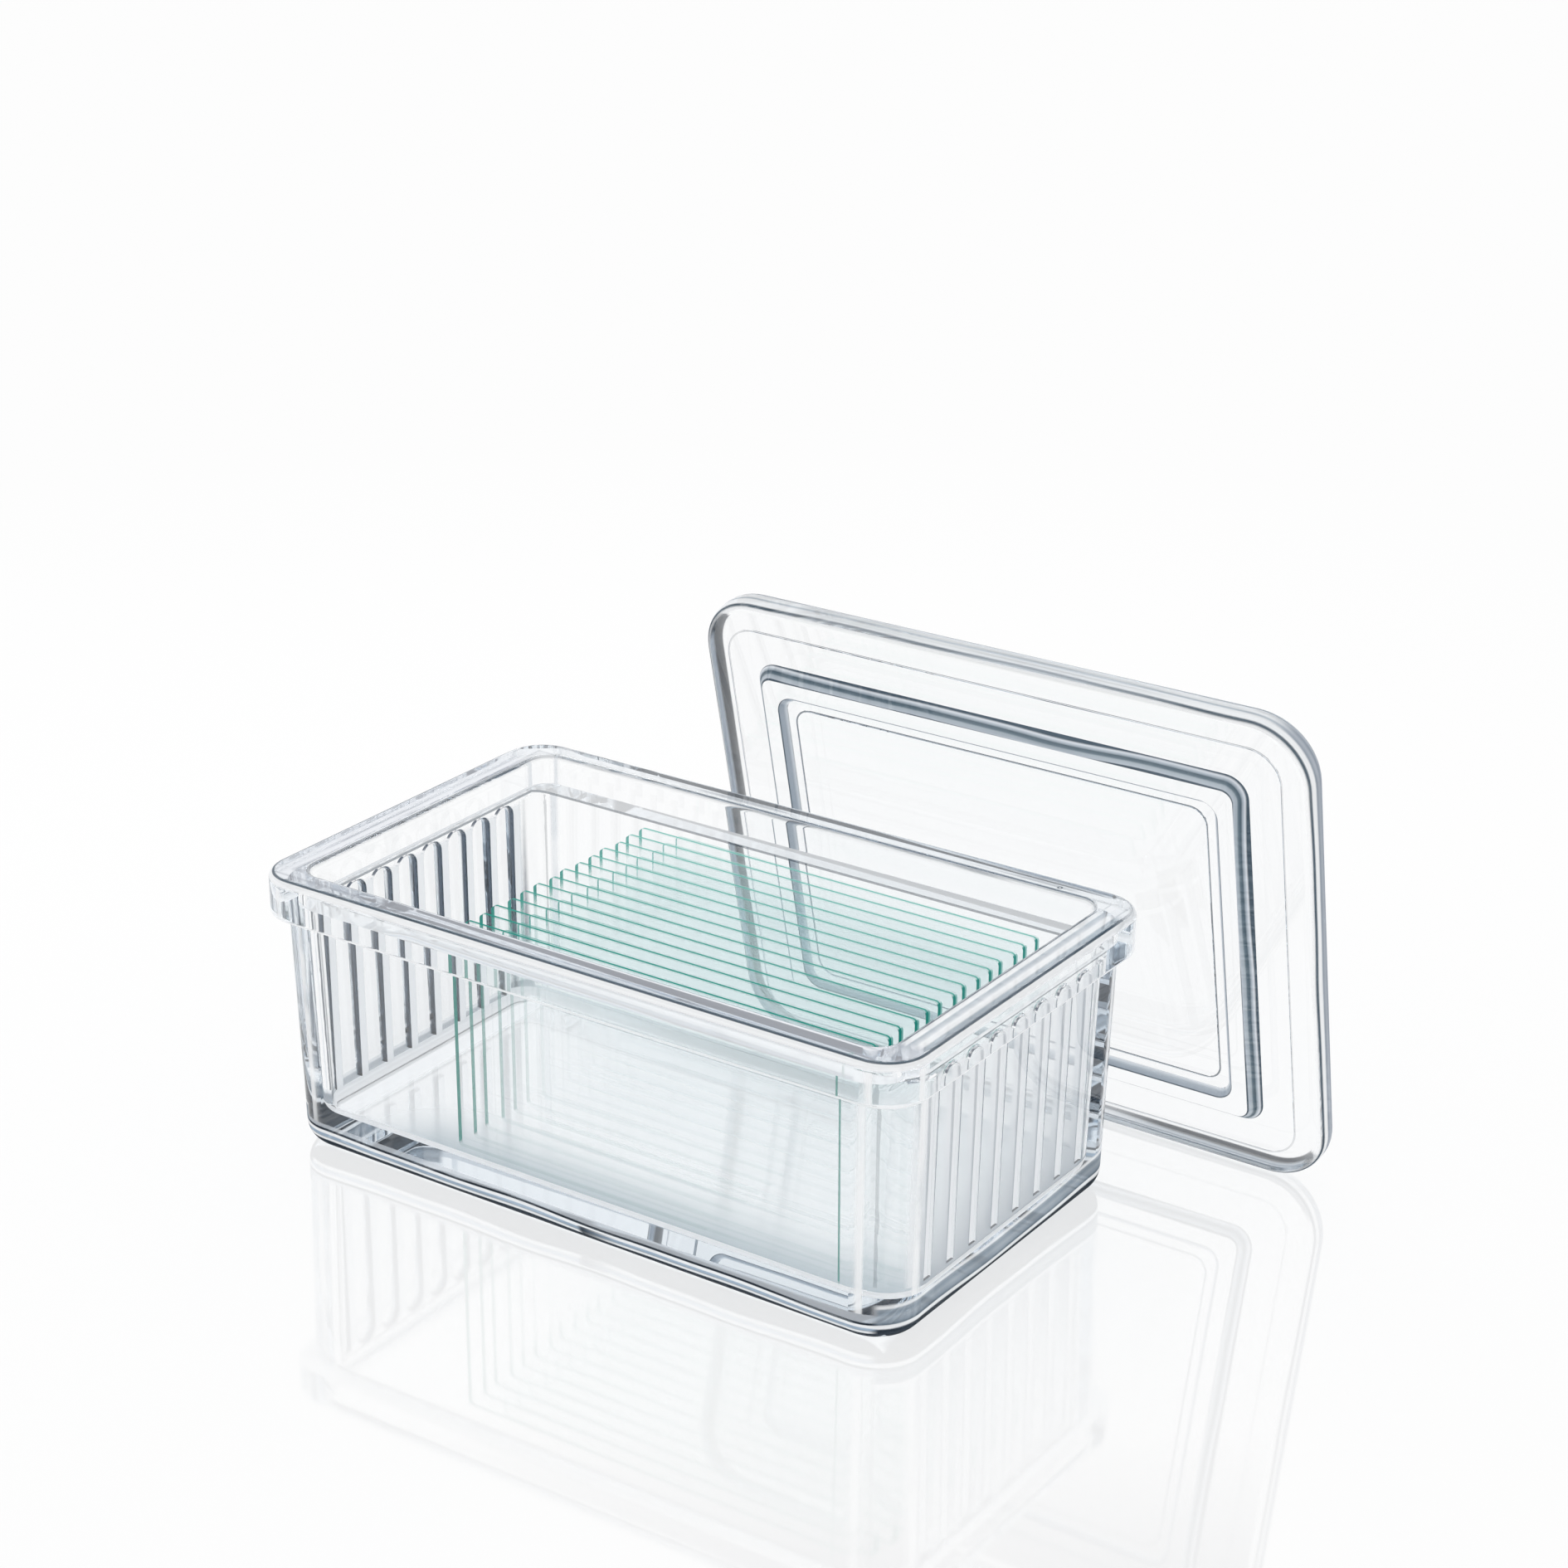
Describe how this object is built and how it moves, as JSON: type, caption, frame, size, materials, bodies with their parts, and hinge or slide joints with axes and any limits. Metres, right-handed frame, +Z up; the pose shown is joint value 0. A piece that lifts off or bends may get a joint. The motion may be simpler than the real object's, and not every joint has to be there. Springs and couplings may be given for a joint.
{
  "type": "slide staining jar",
  "caption": "Rectangular clear glass staining jar with ribbed end walls, glass slides standing inside it, and a thick ridged lid leaning on the rim.",
  "frame": {"origin": "centre of the jar's footprint, in the plane it stands on", "axes": "+X along the jar's long side, +Y towards the leaning lid, +Z up"},
  "size_m": [0.1483, 0.0896, 0.0842],
  "materials": {
    "jar_glass": "clear pressed glass, fire polished",
    "lid_glass": "clear pressed glass, fire polished",
    "slide_glass": "clear float glass with green cut edges",
    "cover_glass": "thin clear glass with pale green edges"
  },
  "bodies": {
    "root": {"glass_jar": "jar_glass", "lid": "lid_glass", "slide_01": "slide_glass", "slide_02": "slide_glass", "slide_03": "slide_glass", "slide_04": "slide_glass", "slide_05": "slide_glass", "slide_06": "slide_glass", "slide_07": "slide_glass", "slide_08": "slide_glass", "slide_09": "slide_glass", "slide_10": "slide_glass", "slide_11": "slide_glass", "slide_12": "slide_glass", "slide_13": "slide_glass", "slide_14": "slide_glass", "cover_plate_01": "cover_glass", "cover_plate_02": "cover_glass", "cover_plate_03": "cover_glass", "cover_plate_04": "cover_glass", "cover_plate_05": "cover_glass", "cover_plate_06": "cover_glass", "cover_plate_07": "cover_glass", "cover_plate_08": "cover_glass", "cover_plate_09": "cover_glass", "cover_plate_10": "cover_glass", "cover_plate_11": "cover_glass", "cover_plate_12": "cover_glass", "cover_plate_13": "cover_glass", "cover_plate_14": "cover_glass"}
  },
  "joints": []
}
